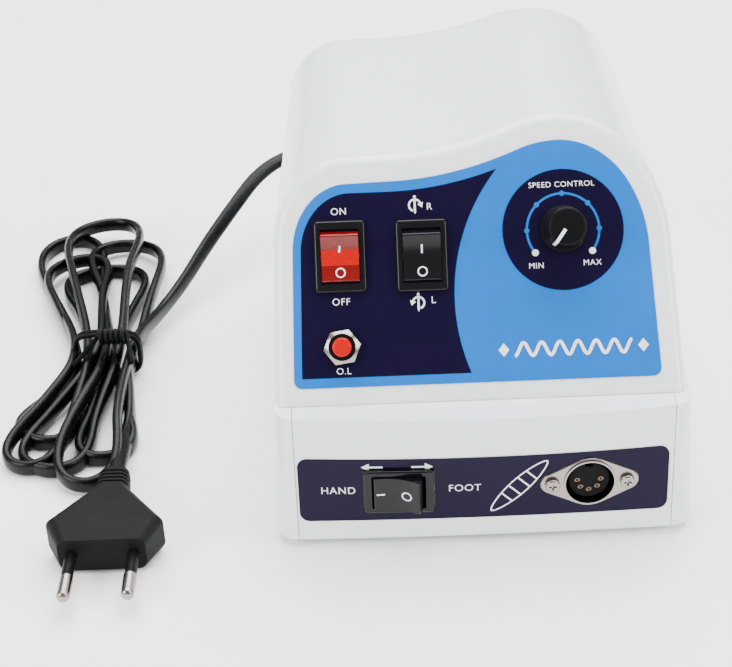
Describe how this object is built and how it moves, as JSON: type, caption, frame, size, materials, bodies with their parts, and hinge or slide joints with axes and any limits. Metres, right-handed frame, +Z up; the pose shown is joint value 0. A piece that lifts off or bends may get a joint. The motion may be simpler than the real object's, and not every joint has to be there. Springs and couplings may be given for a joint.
{
  "type": "electric nail drill",
  "caption": "Control unit of an electric nail drill: wavy sloped plastic housing with rocker switches, speed knob, reset button, handpiece socket and a tied mains cord with a two-pin plug.",
  "frame": {"origin": "centre of the unit's bounding box at the underside of its rubber feet, measured without the cord, hank and plug", "axes": "+Z up, the front with the switches and the handpiece socket faces -Y, +X to the right seen from the front"},
  "size_m": [0.2238, 0.2233, 0.1129],
  "materials": {
    "white_abs": "satin moulded ABS",
    "panel_blue": "printed polyester overlay",
    "strip_navy": "printed polyester overlay",
    "black_gloss": "gloss moulded",
    "black_satin": "satin moulded",
    "red_lens": "translucent moulded",
    "red_cap": "gloss moulded",
    "nickel": "nickel plated",
    "steel": "zinc plated",
    "brass": "tinned",
    "white_print": "inlay",
    "lamination": "varnished laminations",
    "coil_tape": "wound coil under yellow tape",
    "board_green": "solder mask",
    "aluminium": "extruded",
    "can_blue": "sleeved",
    "clear_glass": "clear",
    "rubber_black": "moulded",
    "cord_pvc": "satin PVC"
  },
  "bodies": {
    "housing": {"upper_housing": "white_abs", "lower_housing": "white_abs", "front_fascia": "white_abs", "base_plate": "white_abs", "rubber_feet": "rubber_black", "case_screws": "steel", "panel_label": "panel_blue", "fascia_label": "strip_navy", "power_switch_body": "black_gloss", "direction_switch_body": "black_gloss", "mode_switch_body": "black_gloss", "switch_terminals": "brass", "pot_bushing": "nickel", "pot_body": "steel", "reset_breaker": "black_satin", "reset_nut": "nickel", "reset_spring": "steel", "socket_shell": "nickel", "socket_insert": "black_satin", "socket_contacts": "brass", "socket_screws": "nickel", "socket_nuts": "steel", "cord_gland": "rubber_black", "foot_jack": "black_satin", "foot_jack_nut": "nickel", "fuse_holder": "black_satin", "glass_fuse": "clear_glass", "transformer_core": "lamination", "transformer_coil": "coil_tape", "transformer_bracket": "steel", "control_board": "board_green", "board_pillars": "brass", "board_screws": "steel", "heat_sink": "aluminium", "power_transistor": "black_satin", "capacitors": "can_blue", "bridge_rectifier": "black_satin", "terminal_block": "can_blue", "power_cord": "cord_pvc", "cord_tail": "cord_pvc", "cord_hank": "cord_pvc", "twist_tie": "black_satin", "plug_body": "rubber_black", "plug_pins": "nickel", "plug_sleeves": "black_satin"},
    "power_rocker": {"power_rocker_core": "red_cap", "power_rocker_lens": "red_lens"},
    "direction_rocker": {"direction_rocker": "black_gloss"},
    "mode_rocker": {"mode_rocker": "black_gloss"},
    "speed_knob": {"speed_knob": "black_satin", "knob_pointer": "white_print", "pot_shaft": "steel"},
    "reset_button": {"reset_button": "red_cap"},
    "fuse_carrier": {"fuse_carrier": "black_satin"}
  },
  "joints": [
    {"name": "power_switch", "type": "hinge", "parent": "housing", "child": "power_rocker", "pos_m": [-0.04, -0.04728, 0.08159], "axis": [1, 0, 0], "range_deg": [-24, 0]},
    {"name": "direction_switch", "type": "hinge", "parent": "housing", "child": "direction_rocker", "pos_m": [-0.0161, -0.04757, 0.08118], "axis": [1, 0, 0], "range_deg": [-24, 0]},
    {"name": "mode_switch", "type": "hinge", "parent": "housing", "child": "mode_rocker", "pos_m": [-0.02542, -0.08137, 0.02074], "axis": [-0.0017, -0.0536, -0.9986], "range_deg": [-24, 0]},
    {"name": "speed_control", "type": "hinge", "parent": "housing", "child": "speed_knob", "pos_m": [0.0255, -0.04335, 0.08557], "axis": [0, -0.8251, 0.565], "range_deg": [-289, 0]},
    {"name": "overload_reset", "type": "slide", "parent": "housing", "child": "reset_button", "axis": [0, 0.8251, -0.565], "range_m": [0, 0.0016], "stiffness_N_per_m": 300, "springref_m": -0.001, "deforming": ["reset_spring"]},
    {"name": "fuse_turn", "type": "hinge", "parent": "housing", "child": "fuse_carrier", "pos_m": [0.034, 0.0723, 0.026], "axis": [0, 1, 0], "range_deg": [-60, 0]}
  ]
}
